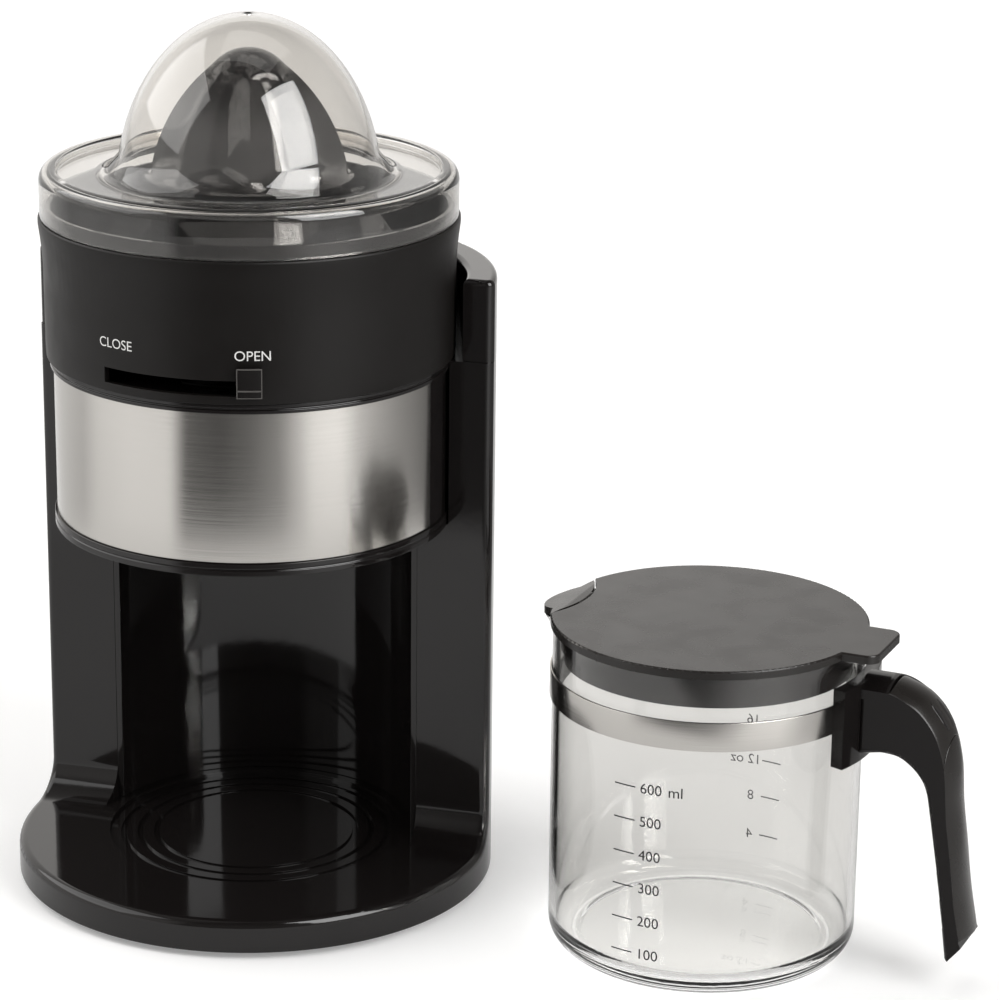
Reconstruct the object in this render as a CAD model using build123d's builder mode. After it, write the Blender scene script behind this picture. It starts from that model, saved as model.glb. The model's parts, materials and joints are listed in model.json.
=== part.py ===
from build123d import *

# Citrus press juicer: a round motor column with a carafe bay, a juice bowl, strainer and reamer under a
# clear dome, and a glass carafe with a lid that stands beside it. Millimetres, +Z up, front towards -Y.
# The origin is the foot of the juicer's vertical axis, on the table.

import os
from math import atan2, cos, degrees, hypot, radians, sin

os.makedirs("parts", exist_ok=True)

# ---- driving dimensions: base and column ----
base_radius = 86.5
foot_height = 3.0
base_bottom = 2.5
base_top = 14.0
shell = 2.4                 # wall of the large black mouldings
column_front = 10.0         # Y of the flat fronts of the two wings
bay_radius = 57.2
liner_wall = 2.2
cap_seam = 195.0            # column below, cap above
cap_top = 224.5
blend_radius = 13.0         # concave sweep from the wing fronts to the base top
wing_corner_round = 3.0

# ---- driving dimensions: motor drum ----
drum_radius = 69.4
drum_wall = 2.5
drum_floor = 134.5          # underside of the lip round the bay's ceiling
drum_bottom = 139.0
drum_top = 192.2
band_wall = 0.5
band_half_angle = 83.0      # steel band, each side of the front
deck_plate = 195.5
deck_top = 197.9

# ---- driving dimensions: bowl, strainer, reamer and cover ----
bowl_bottom = 195.8
bowl_top = 245.2
bowl_radius = 72.0
bowl_lip_radius = 73.6
bowl_inner = 69.6
ledge_height = 240.0
ledge_radius = 71.4
outlet_offset = 38.0        # the juice outlet lies in front of the axis
outlet_radius = 5.5
tower_radius = 10.0
tower_top = 239.5
slot_bottom = 198.8
slot_top = 204.1
slot_half_angle = 23.2
lever_half_angle = 3.5
strainer_rim = 70.4
strainer_top = 250.0
strainer_floor = 228.0
slot_count = 36
reamer_base = 257.0
reamer_top = 302.9
reamer_radius = 34.5
cap_radius = 11.6           # small dome on top of the reamer
cap_foot = 298.0
rib_count = 8
first_rib = -69.0           # plan angle of one of the ribs
press_travel = 2.5
cover_wall = 1.6
cover_radius = 73.0
cover_shoulder = 262.2
dome_radius = 46.2
dome_foot = 253.3
dome_top = 315.1

# ---- driving dimensions: drive ----
module = 1.0
output_teeth = 40
small_teeth = 12            # lower wheel of the intermediate gear, and the motor pinion
large_teeth = 36
shaft_radius = 4.0
running_fit = 0.05
gap = 0.3                   # between pieces that move past each other
screw_radius = 1.4          # small screws, and the holes they are driven into
intermediate_at = (22.0, 13.856)
motor_at = (8.0, 33.36)
motor_radius = 22.0
low_gears = (174.2, 179.0)
high_gears = (180.4, 187.0)
case_bottom = 170.8
case_top = 189.6

# ---- driving dimensions: carafe ----
carafe_at = (171.6, -14.0)
handle_turn = -7.5          # the handle points this far round from +X
glass_radius = 53.8
glass_wall = 2.4
glass_rim = 116.1
band_bottom = 91.0
band_top = 101.1
liner_thickness = 0.3
carafe_band_wall = 0.5
lid_radius = 54.7
lid_bottom = 116.4
lid_top = 119.4
handle_half_width = 10.3
handle_crown = 2.6          # rise of the handle's rounded outer face


# ---- places ----
front = -90.0                                           # direction of the front, as a plan angle
outlet_at = (0.0, -outlet_offset)
side = Plane.XZ                                         # x is the radius, y is the height
turn = (cos(radians(handle_turn)), sin(radians(handle_turn)))
carafe_plan = Plane(origin=(*carafe_at, 0), x_dir=(*turn, 0), z_dir=(0, 0, 1))
carafe_side = Plane(origin=(*carafe_at, 0), x_dir=(*turn, 0), z_dir=(turn[1], -turn[0], 0))
carafe_axis = Axis((*carafe_at, 0), (0, 0, 1))


def disc(radius, bottom, top, hole=0.0, at=(0, 0)):
    """A flat round piece between two heights, solid or with a round hole."""
    with BuildSketch(Plane.XY.offset(bottom)) as profile:
        with Locations(at):
            Circle(radius)
            if hole:
                Circle(hole, mode=Mode.SUBTRACT)
    extrude(profile.sketch, amount=top - bottom)


def bore(radius, bottom, top, at=(0, 0)):
    """A round hole cut between two heights."""
    with BuildSketch(Plane.XY.offset(bottom)) as profile:
        with Locations(at):
            Circle(radius)
    extrude(profile.sketch, amount=top - bottom, mode=Mode.SUBTRACT)


def turned(*corners, plane=side, axis=Axis.Z, mode=Mode.ADD):
    """A turned piece, from the (radius, height) corners of its wall."""
    with BuildSketch(plane) as profile:
        with BuildLine():
            Polyline(*corners, close=True)
        make_face()
    revolve(profile.sketch, axis=axis, mode=mode)


def horseshoe(inner, outer, front_y, bottom, top, corner=0.0, mode=Mode.ADD):
    """The part of a round wall that lies behind the wing fronts."""
    with BuildSketch(Plane.XY.offset(bottom)) as profile:
        Circle(outer)
        if inner:
            Circle(inner, mode=Mode.SUBTRACT)
        with Locations((0, front_y)):
            Rectangle(3 * outer, 2 * outer, align=(Align.CENTER, Align.MIN), mode=Mode.INTERSECT)
        if corner:
            fillet(profile.vertices().filter_by(lambda v: hypot(v.X, v.Y) > outer - 0.1), corner)
    extrude(profile.sketch, amount=top - bottom, mode=mode)


def sector(inner, outer, start, end, bottom, top, plan=Plane.XY, mode=Mode.ADD):
    """A curved bar between two radii and two plan angles."""
    middle = (start + end) / 2
    rim = [(radius * cos(radians(angle)), radius * sin(radians(angle)))
           for radius, angle in ((inner, start), (inner, middle), (inner, end),
                                 (outer, end), (outer, middle), (outer, start))]
    with BuildSketch(plan.offset(bottom)) as profile:
        with BuildLine():
            ThreePointArc(*rim[:3])
            Line(rim[2], rim[3])
            ThreePointArc(*rim[3:])
            Line(rim[5], rim[0])
        make_face()
    extrude(profile.sketch, amount=top - bottom, mode=mode)


def gear_blank(teeth, first_tooth, levels, at=(0, 0)):
    """A toothed wheel with one tooth centred on the plan angle first_tooth."""
    pitch_radius = module * teeth / 2
    root, tip = pitch_radius - 1.05 * module, pitch_radius + 0.75 * module
    outline = []
    for tooth in range(teeth):
        for radius, share in ((root, -0.31), (tip, -0.12), (tip, 0.12), (root, 0.31)):
            angle = radians(first_tooth + (tooth + share) * 360 / teeth)
            outline.append((at[0] + radius * cos(angle), at[1] + radius * sin(angle)))
    with BuildSketch(Plane.XY.offset(levels[0])) as profile:
        with BuildLine():
            Polyline(*outline, close=True)
        make_face()
    extrude(profile.sketch, amount=levels[1] - levels[0])


def screw(at, head_bottom, head_top, tip, head_radius=2.8):
    """A pan-head screw; tip is the height of its point, above or below the head."""
    disc(head_radius, head_bottom, head_top, at=at)
    disc(screw_radius, min(tip, head_bottom), max(tip, head_top), at=at)


# ================= base and column =================
post_circle, foot_circle = 62.0, 72.0
post_radius, post_hole = 4.0, 1.5
foot_radius = 6.5
post_places = [(post_circle * cos(radians(a)), post_circle * sin(radians(a))) for a in (45, 135, 225, 315)]
foot_places = [(0, 0)] + [(foot_circle * cos(radians(a)), foot_circle * sin(radians(a)))
                          for a in (0, 90, 180, 270)]
seat_radius, seat_depth = 53.5, 1.2       # where the carafe stands
seat_rings = (49.5, 43.5, 37.5)
ring_width, ring_bottom = 2.0, base_top - 2.0
plate_top = base_bottom + 2.5
base_floor = base_top - 2 * shell
column_inner = drum_radius + 1.4
gland_height = 24.0
gland_neck, gland_head, gland_hole = 6.0, 8.5, 3.6
gland_inside, gland_outside = 5.0, 3.5    # reach in and out from the column's back

with BuildPart() as base_stand:
    disc(base_radius, base_bottom, base_top)
    horseshoe(bay_radius + liner_wall, base_radius, column_front, base_bottom, drum_floor)
    horseshoe(column_inner, base_radius, column_front, drum_floor, cap_seam)
    # concave sweep where the wing fronts meet the base
    sweep_foot = (column_front - blend_radius, base_top)
    sweep_head = (column_front, base_top + blend_radius)
    sweep_middle = (sweep_foot[0] + blend_radius * sin(radians(45)),
                    sweep_head[1] - blend_radius * cos(radians(45)))
    with BuildSketch(Plane.YZ):
        with BuildLine():
            ThreePointArc(sweep_foot, sweep_middle, sweep_head)
            Polyline(sweep_head, (column_front + 1, sweep_head[1]), (column_front + 1, base_top - 1),
                     (sweep_foot[0], base_top - 1), sweep_foot)
        make_face()
    extrude(amount=base_radius, both=True)
    with BuildSketch(Plane.XY.offset(base_bottom)):
        Circle(base_radius)
    extrude(amount=cap_seam - base_bottom, mode=Mode.INTERSECT)
    bore(bay_radius + liner_wall, base_top, drum_floor)
    # one soft edge runs round the base, up the sweeps and up both wings
    rim = base_stand.edges().filter_by(
        lambda e: all(abs(hypot(p.X, p.Y) - base_radius) < 0.01 for p in (e @ 0, e @ 0.5, e @ 1))
        and (e @ 0.5).Z > base_bottom + 1 and (e @ 0.5).Z < cap_seam - 1 and (e @ 0.5).Y < column_front + 0.1)
    fillet(rim, wing_corner_round)
    # shallow seat and three rings that the carafe stands on
    bore(seat_radius, base_top - seat_depth, base_top)
    for ring in seat_rings:
        with BuildSketch(Plane.XY.offset(ring_bottom)):
            Circle(ring)
            Circle(ring - ring_width, mode=Mode.SUBTRACT)
        extrude(amount=base_top - seat_depth - ring_bottom + 0.2, mode=Mode.SUBTRACT)
    # hollow inside
    bore(base_radius - shell, base_bottom, base_floor)
    horseshoe(0, base_radius - shell, column_front + shell, base_top, cap_seam - shell,
              mode=Mode.SUBTRACT)
    for place in post_places:
        disc(post_radius, plate_top, base_floor, at=place)
        bore(post_hole, plate_top, base_top - 3.0, at=place)
    with Locations(Location((0, base_radius, gland_height), (90, 0, 0))):
        Cylinder(gland_neck, 12, mode=Mode.SUBTRACT)
base_stand.part.label = "base_stand"

with BuildPart() as base_plate:
    disc(base_radius - shell - gap, foot_height, plate_top)
    for place in post_places:
        bore(post_hole + 0.1, foot_height, plate_top, at=place)
        bore(2 * post_hole, foot_height, foot_height + 1.0, at=place)
base_plate.part.label = "base_plate"

with BuildPart() as rubber_feet:
    for place in foot_places:
        disc(foot_radius, 0, foot_height, at=place)
    chamfer(rubber_feet.edges().filter_by(GeomType.CIRCLE).group_by(Axis.Z)[0], 0.6)
rubber_feet.part.label = "rubber_feet"

with BuildPart() as base_screws:
    for place in post_places:
        screw(place, foot_height + 0.1, foot_height + 0.9, base_top - 3.4)
base_screws.part.label = "base_screws"

with BuildPart() as cord_gland:
    for radius, start in ((gland_neck, base_radius - gland_inside), (gland_head, base_radius + 0.1)):
        with BuildSketch(Plane.XZ.offset(-start)):
            with Locations((0, gland_height)):
                Circle(radius)
                Circle(gland_hole, mode=Mode.SUBTRACT)
        extrude(amount=start - base_radius - gland_outside)
    fillet(cord_gland.edges().filter_by(GeomType.CIRCLE).sort_by(Axis.Y)[-2:], 0.8)
cord_gland.part.label = "cord_gland"

with BuildPart() as bay_liner:
    horseshoe(bay_radius, bay_radius + liner_wall, column_front, base_top, drum_floor + 1)
bay_liner.part.label = "bay_liner"

cap_inner = 75.4
cap_front = column_front + 0.6
cap_edge_round = 2.2
with BuildPart() as column_cap:
    horseshoe(cap_inner, base_radius, cap_front, cap_seam, cap_top, corner=wing_corner_round)
    fillet(column_cap.edges().group_by(Axis.Z)[-1], cap_edge_round)
    horseshoe(cap_inner + shell, base_radius - shell, cap_front + shell, cap_seam, cap_top - shell,
              mode=Mode.SUBTRACT)
column_cap.part.label = "column_cap"

# ================= motor drum =================
ceiling_top = drum_floor + 3.4
duct_hole = 7.8

with BuildPart() as bay_ceiling:
    lip = drum_radius + 0.8
    wall_inside = drum_radius - drum_wall
    turned((0, drum_floor + 1), (wall_inside - 1, drum_floor + 1), (wall_inside, drum_floor),
           (lip, drum_floor), (lip, drum_floor + 1.9), (lip - 0.4, drum_floor + 2.1),
           (lip - 0.4, drum_floor + 2.5), (lip, drum_floor + 2.7), (lip, drum_bottom),
           (wall_inside, drum_bottom), (wall_inside, ceiling_top), (0, ceiling_top))
    bore(duct_hole, drum_floor, drum_bottom, at=outlet_at)
bay_ceiling.part.label = "bay_ceiling"

with BuildPart() as motor_housing:
    disc(drum_radius, drum_bottom, drum_top, hole=drum_radius - drum_wall)
    sector(drum_radius - band_wall, drum_radius + 1, front - band_half_angle, front + band_half_angle,
           drum_bottom, drum_top, mode=Mode.SUBTRACT)
motor_housing.part.label = "motor_housing"

with BuildPart() as steel_band:
    sector(drum_radius - band_wall, drum_radius, front - band_half_angle, front + band_half_angle,
           drum_bottom + 0.2, drum_top)
steel_band.part.label = "steel_band"

boss_radius = 7.6
boss_bore = 5.7
boss_top = 236.0
case_screw_places = [(-13.8, -24.8), (47.4, 18.9), (-8.1, 54.9)]

with BuildPart() as top_deck:
    trim = drum_radius + 1.2
    turned((boss_bore, deck_plate), (66, deck_plate), (66, drum_top), (trim, drum_top),
           (trim, drum_top + 1.2), (trim - 0.5, drum_top + 1.4), (trim - 0.5, drum_top + 1.9),
           (trim, drum_top + 2.1), (trim, deck_plate), (bowl_inner, deck_plate), (bowl_inner, deck_top),
           (boss_radius, deck_top), (boss_radius, boss_top), (boss_bore, boss_top))
    bore(duct_hole, deck_plate, deck_top, at=outlet_at)
    for place in case_screw_places:
        bore(screw_radius, deck_plate, deck_top - 0.8, at=place)
top_deck.part.label = "top_deck"

valve_seat = 200.0
with BuildPart() as juice_duct:
    disc(duct_hole, drum_floor + 0.4, deck_top, hole=outlet_radius, at=outlet_at)
    disc(10.5, deck_top, valve_seat, hole=outlet_radius, at=outlet_at)
juice_duct.part.label = "juice_duct"

# ================= motor, gears and shaft =================
can_bottom = 141.0
can_floor = can_bottom + 2
rotor_shaft = 1.6
case_floor = case_bottom + 2.4
can_wall = 1.5
motor_screw_offset = 14.0
rotor_radius, magnet_inner = 17.0, 17.6
commutator_radius = 6.0
motor_screw_places = [(motor_at[0] - motor_screw_offset, motor_at[1]),
                      (motor_at[0], motor_at[1] + motor_screw_offset)]

with BuildPart() as motor_can:
    disc(motor_radius, can_floor, case_bottom, at=motor_at)
    bore(motor_radius - can_wall, can_floor, case_bottom - can_wall, at=motor_at)
    bore(rotor_shaft + running_fit, can_bottom, case_bottom, at=motor_at)
    for place in motor_screw_places:
        bore(screw_radius, case_bottom - can_wall, case_bottom, at=place)
motor_can.part.label = "motor_can"

with BuildPart() as motor_magnets:
    disc(motor_radius - can_wall, can_floor + 4, case_bottom - 6, hole=magnet_inner, at=motor_at)
motor_magnets.part.label = "motor_magnets"

with BuildPart() as motor_end_cap:
    disc(motor_radius, can_bottom, can_floor, at=motor_at)
    disc(4.5, can_floor, can_bottom + 5, at=motor_at)
    bore(rotor_shaft + running_fit, can_bottom + 1, can_bottom + 6, at=motor_at)
motor_end_cap.part.label = "motor_end_cap"

with BuildPart() as rotor:
    disc(rotor_shaft, can_bottom + 1.3, low_gears[1], at=motor_at)
    disc(rotor_radius, can_bottom + 7, case_bottom - 7, at=motor_at)
    disc(commutator_radius, case_bottom - 7, case_bottom - 3, at=motor_at)
rotor.part.label = "rotor"

to_intermediate = degrees(atan2(intermediate_at[1], intermediate_at[0]))
to_motor = degrees(atan2(motor_at[1] - intermediate_at[1], motor_at[0] - intermediate_at[0]))
facing_gap = 180 + 180 / small_teeth      # half a tooth on, so that a gap faces the mating tooth

with BuildPart() as pinion:
    gear_blank(small_teeth, to_motor + facing_gap, low_gears, at=motor_at)
    bore(rotor_shaft, *low_gears, at=motor_at)
pinion.part.label = "pinion"

pin_radius = 2.0
with BuildPart() as intermediate_gear:
    gear_blank(large_teeth, to_motor, low_gears, at=intermediate_at)
    disc(4.6, low_gears[1], high_gears[0], at=intermediate_at)
    gear_blank(small_teeth, to_intermediate + facing_gap, high_gears, at=intermediate_at)
    bore(pin_radius + running_fit, low_gears[0], high_gears[1], at=intermediate_at)
intermediate_gear.part.label = "intermediate_gear"

with BuildPart() as intermediate_pin:
    disc(pin_radius, case_bottom + 0.6, case_top, at=intermediate_at)
intermediate_pin.part.label = "intermediate_pin"

flat_depth = 3.2                          # the shaft's drive flats, from its axis
gear_hub = (case_floor + 0.4, case_top - 0.4)
with BuildPart() as output_gear:
    gear_blank(output_teeth, to_intermediate, high_gears)
    disc(6.4, *gear_hub)
    with BuildSketch(Plane.XY.offset(gear_hub[0])):
        Circle(shaft_radius + running_fit)
        with Locations((0, -flat_depth - running_fit)):
            Rectangle(20, 20, align=(Align.CENTER, Align.MIN), mode=Mode.INTERSECT)
    extrude(amount=gear_hub[1] - gear_hub[0], mode=Mode.SUBTRACT)
output_gear.part.label = "output_gear"


def case_plan(height, amount, grow=0.0, mode=Mode.ADD):
    """The gearbox from above: one skin round both gears and the motor."""
    with BuildSketch(Plane.XY.offset(height)) as profile:
        Circle(23.5 + grow)
        with Locations(intermediate_at):
            Circle(21.0 + grow)
        with Locations(motor_at):
            Circle(motor_radius + grow)
        make_hull()
    extrude(profile.sketch, amount=amount, mode=mode)


lug_bottom, lug_radius = 180.0, 3.4
case_wall = 2.0
collar_radius, bush_radius = 9.5, 6.5
collar_bottom = case_bottom - 5.0
pinion_hole = 3.0
with BuildPart() as gearbox_case:
    case_plan(case_bottom, case_top - case_bottom, grow=case_wall)
    for place in case_screw_places:
        disc(lug_radius, lug_bottom, case_top, at=place)
    case_plan(case_floor, case_top - case_floor, mode=Mode.SUBTRACT)
    disc(collar_radius, collar_bottom, case_bottom)
    bore(bush_radius, collar_bottom, case_floor)
    bore(pinion_hole, case_bottom, case_floor, at=motor_at)
    bore(pin_radius, case_bottom + 0.6, case_floor, at=intermediate_at)
    for place in motor_screw_places + case_screw_places:
        bore(screw_radius, case_bottom, case_top, at=place)
gearbox_case.part.label = "gearbox_case"

cover_top = case_top + case_wall
with BuildPart() as gearbox_cover:
    case_plan(case_top, case_wall, grow=case_wall)
    for place in case_screw_places:
        disc(lug_radius, case_top, deck_plate, at=place)
        bore(screw_radius, case_top, deck_plate, at=place)
    bore(shaft_radius + gap, case_top, cover_top)
gearbox_cover.part.label = "gearbox_cover"

with BuildPart() as motor_screws:
    for place in motor_screw_places:
        screw(place, case_floor, case_floor + 0.8, case_bottom - 1.5, head_radius=2.4)
motor_screws.part.label = "motor_screws"

with BuildPart() as gearbox_screws:
    for place in case_screw_places:
        screw(place, lug_bottom - 1.6, lug_bottom, deck_top - 0.8, head_radius=2.6)
gearbox_screws.part.label = "gearbox_screws"

with BuildPart() as lower_bush:
    disc(bush_radius, collar_bottom, case_floor, hole=shaft_radius + running_fit)
lower_bush.part.label = "lower_bush"

with BuildPart() as upper_bush:
    disc(boss_bore, boss_top - 10, boss_top, hole=shaft_radius + running_fit)
upper_bush.part.label = "upper_bush"

seal_top = boss_top + 2.2
with BuildPart() as shaft_seal:
    disc(boss_radius, boss_top, seal_top, hole=shaft_radius + running_fit)
shaft_seal.part.label = "shaft_seal"

shaft_bottom = 160.5
shaft_end = 268.0
hub_bottom = 243.0
collar = (207.0, 209.0)
with BuildPart() as drive_shaft:
    disc(shaft_radius, shaft_bottom, shaft_end)
    disc(boss_bore - gap, *collar)
    # one long flat drives it through the gear, two at the top drive the reamer
    with BuildSketch(Plane.XY.offset(gear_hub[0] - 0.5)):
        with Locations((0, -flat_depth)):
            Rectangle(20, 10, align=(Align.CENTER, Align.MAX))
    extrude(amount=gear_hub[1] - gear_hub[0] + 0.5 + press_travel, mode=Mode.SUBTRACT)
    for side_sign in (1, -1):
        with BuildSketch(Plane.XY.offset(hub_bottom - 1)):
            with Locations((0, side_sign * (flat_depth + 5))):
                Rectangle(20, 10)
        extrude(amount=shaft_end - hub_bottom + 1, mode=Mode.SUBTRACT)
    chamfer(drive_shaft.edges().group_by(Axis.Z)[-1], 0.6)
drive_shaft.part.label = "drive_shaft"

spring_turns = 5
spring_wire = 0.5
spring_radius = 4.85
coil_height = collar[0] - cover_top - 2 * spring_wire
with BuildPart() as shaft_spring:
    with BuildLine() as coil:
        Helix(pitch=coil_height / spring_turns, height=coil_height, radius=spring_radius,
              center=(0, 0, cover_top + spring_wire))
    with BuildSketch(Plane(origin=coil.line @ 0, z_dir=coil.line % 0)):
        Circle(spring_wire)
    sweep(path=coil.line, is_frenet=True)
shaft_spring.part.label = "shaft_spring"

switch_top = 156.0
switch_size = (13.0, 18.0)
plunger_radius = 1.75
with BuildPart() as switch_body:
    with BuildSketch(Plane.XY.offset(ceiling_top)):
        Rectangle(*switch_size)
    extrude(amount=switch_top - ceiling_top)
    bore(plunger_radius + running_fit, switch_top - 7, switch_top)
switch_body.part.label = "switch_body"

with BuildPart() as switch_plunger:
    disc(plunger_radius, switch_top - 3.5, shaft_bottom - gap)
switch_plunger.part.label = "switch_plunger"

# ================= bowl, valve, strainer, reamer and cover =================
seal_radius = 7.2
outlet_bottom = 203.6
with BuildPart() as juice_bowl:
    with BuildSketch(side):
        with BuildLine():
            Polyline((bowl_radius + 0.1, 222), (bowl_radius, 200), (bowl_radius - 0.2, bowl_bottom),
                     (bowl_inner, bowl_bottom), (bowl_inner, 213.6), (45, 206.9), (31, 206.9),
                     (8.0, 211.6), (8.0, tower_top), (tower_radius, tower_top), (tower_radius, 214.0),
                     (31, 209.2), (45, 209.2), (bowl_inner, 216), (bowl_inner, ledge_height),
                     (ledge_radius, ledge_height), (ledge_radius, bowl_top),
                     (bowl_lip_radius - 0.4, bowl_top), (bowl_lip_radius, bowl_top - 0.6),
                     (bowl_lip_radius, bowl_top - 2.5))
            ThreePointArc((bowl_lip_radius, bowl_top - 2.5), (bowl_lip_radius - 0.95, 235),
                          (bowl_radius + 0.1, 222))
        make_face()
    revolve(axis=Axis.Z)
    sector(bowl_inner - 4, bowl_lip_radius + 2, front - slot_half_angle, front + slot_half_angle,
           slot_bottom, slot_top, mode=Mode.SUBTRACT)
    disc(seal_radius, outlet_bottom, 208, at=outlet_at)
    bore(outlet_radius, outlet_bottom, 210, at=outlet_at)
juice_bowl.part.label = "juice_bowl"

with BuildPart() as outlet_seal:
    disc(seal_radius, outlet_bottom - 1.1, outlet_bottom, hole=outlet_radius, at=outlet_at)
outlet_seal.part.label = "outlet_seal"

lever_angle = front + slot_half_angle - lever_half_angle
lever_sweep = 2 * (slot_half_angle - lever_half_angle)
valve_plate = (valve_seat + gap, valve_seat + 2.0)
with BuildPart() as flow_lever:
    disc(13.0, *valve_plate, hole=boss_radius + running_fit)
    sector(12.0, 30.0, front - 4, front + 4, *valve_plate)
    sector(outlet_offset - 9, outlet_offset + 9, front - 11, front + lever_sweep + 11, *valve_plate)
    bore(outlet_radius, valve_seat, valve_seat + 3, at=outlet_at)
    sector(outlet_offset + 8, 72.6, lever_angle - 2.6, lever_angle + 2.6, valve_plate[0], 203.4)
    sector(72.5, 74.7, lever_angle - lever_half_angle + 0.1, lever_angle + lever_half_angle - 0.1,
           slot_bottom - 0.2, 209.2)
flow_lever.part.label = "flow_lever"

with BuildPart() as strainer:
    turned((strainer_rim, strainer_top), (strainer_rim, ledge_height), (69.2, ledge_height),
           (68.4, 232), (64, strainer_floor), (36, strainer_floor), (31, 250.2), (12.4, 250.2),
           (12.4, 252), (32.4, 252), (37.4, strainer_floor + 1.8), (63.2, strainer_floor + 1.8),
           (66.8, 233), (68.6, strainer_top))
    with BuildSketch(Plane.XY.offset(strainer_floor)):
        with PolarLocations(50.5, slot_count):
            SlotOverall(21, 1.8)
    extrude(amount=2, mode=Mode.SUBTRACT)
strainer.part.label = "strainer"

# one scoop between two ribs: a round cutter that follows the cone's side and ends in a ball
scoop_radius = 20.0
scoop_path_radius = 73.6
scoop_centre = (-26.7, 0, 256.3)
scoop_start = 15.5
scoop_foot = (scoop_centre[0] + scoop_path_radius * cos(radians(scoop_start)), 0,
              scoop_centre[2] + scoop_path_radius * sin(radians(scoop_start)))
with BuildPart() as scoop:
    with BuildSketch(Plane(origin=scoop_foot, x_dir=(0, 1, 0),
                           z_dir=(-sin(radians(scoop_start)), 0, cos(radians(scoop_start))))):
        Circle(scoop_radius)
    revolve(axis=Axis(scoop_centre, (0, -1, 0)), revolution_arc=75)
    with Locations(scoop_foot):
        Sphere(scoop_radius)

# one lobe of the cone, from rib to rib, with its scoop
lobe_angle = 360 / rib_count
with BuildPart() as lobe:
    with BuildSketch(Plane.XZ.rotated((0, 0, -lobe_angle / 2))):
        with BuildLine():
            ThreePointArc((0, reamer_top), (6.5, 301.6), (cap_radius, cap_foot))
            Line((cap_radius, cap_foot), (12.4, 297.2))
            ThreePointArc((12.4, 297.2), (26.5, 281.0), (reamer_radius, 258.6))
            Polyline((reamer_radius, 258.6), (reamer_radius + 2, reamer_base + 0.8),
                     (reamer_radius + 2, reamer_base), (29.5, reamer_base), (26, 264), (19, 276),
                     (10, 284), (10, 262), (8.4, 258), (8.4, hub_bottom), (0, hub_bottom),
                     (0, reamer_top))
        make_face()
    revolve(axis=Axis.Z, revolution_arc=lobe_angle)
    add(scoop.part, mode=Mode.SUBTRACT)

with BuildPart() as reamer:
    with PolarLocations(0, rib_count, start_angle=first_rib + lobe_angle / 2):
        add(lobe.part)
    turned((0, cap_foot - 11), (cap_radius - 3, cap_foot - 11), (cap_radius, cap_foot - 3),
           (cap_radius, cap_foot), (6.5, 301.6), (0, 302.7))
    with BuildSketch(Plane.XY.offset(hub_bottom)):
        Circle(shaft_radius)
        Rectangle(20, 2 * flat_depth, mode=Mode.INTERSECT)
    extrude(amount=shaft_end - hub_bottom, mode=Mode.SUBTRACT)
reamer.part.label = "reamer"


def cover_face(radius, corner, top, step, flange, dome, height):
    """One face of the cover: side wall, round shoulder, sunken flange and dome, from the rim up."""
    start = 9.4
    dome_start = (dome * cos(radians(start)), dome_foot + height * sin(radians(start)))
    bend = corner * (1 - cos(radians(45)))
    Line((radius, cover_rim), (radius, top - corner))
    ThreePointArc((radius, top - corner), (radius - bend, top - bend), (radius - corner, top))
    Polyline((radius - corner, top), (step, top), (step - 0.8, flange + 0.2), (dome + 4.6, flange))
    ThreePointArc((dome + 4.6, flange), (dome + 0.9, flange + 1.0), dome_start)
    EllipticalCenterArc((0, dome_foot), dome, height, start_angle=start, arc_size=90 - start)


cover_rim = bowl_top + 0.2
cover_flange = 259.6
vent_radius = 1.4
with BuildPart() as dust_cover:
    with BuildSketch(side):
        with BuildLine():
            cover_face(cover_radius, 4.4, cover_shoulder, 67.2, cover_flange,
                       dome_radius, dome_top - dome_foot)
            Line((0, dome_top), (0, dome_top - cover_wall))
            cover_face(cover_radius - cover_wall, 1.8, cover_shoulder - cover_wall, 68.8,
                       cover_flange - cover_wall, dome_radius - cover_wall, dome_top - dome_foot - cover_wall)
            Line((cover_radius - cover_wall, cover_rim), (cover_radius, cover_rim))
        make_face()
    revolve(axis=Axis.Z)
    bore(vent_radius, dome_top - 4, dome_top + 1)
dust_cover.part.label = "dust_cover"

# ================= carafe =================
heel = 8.4
glass_inner = glass_radius - glass_wall
beak_bottom = band_top + 0.4
beak_at = -46.0
beak_top_radius = 15.5
beak_bottom_radius = glass_radius + beak_at
foot_ring = 45.4                          # the jug stands on this ring

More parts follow.
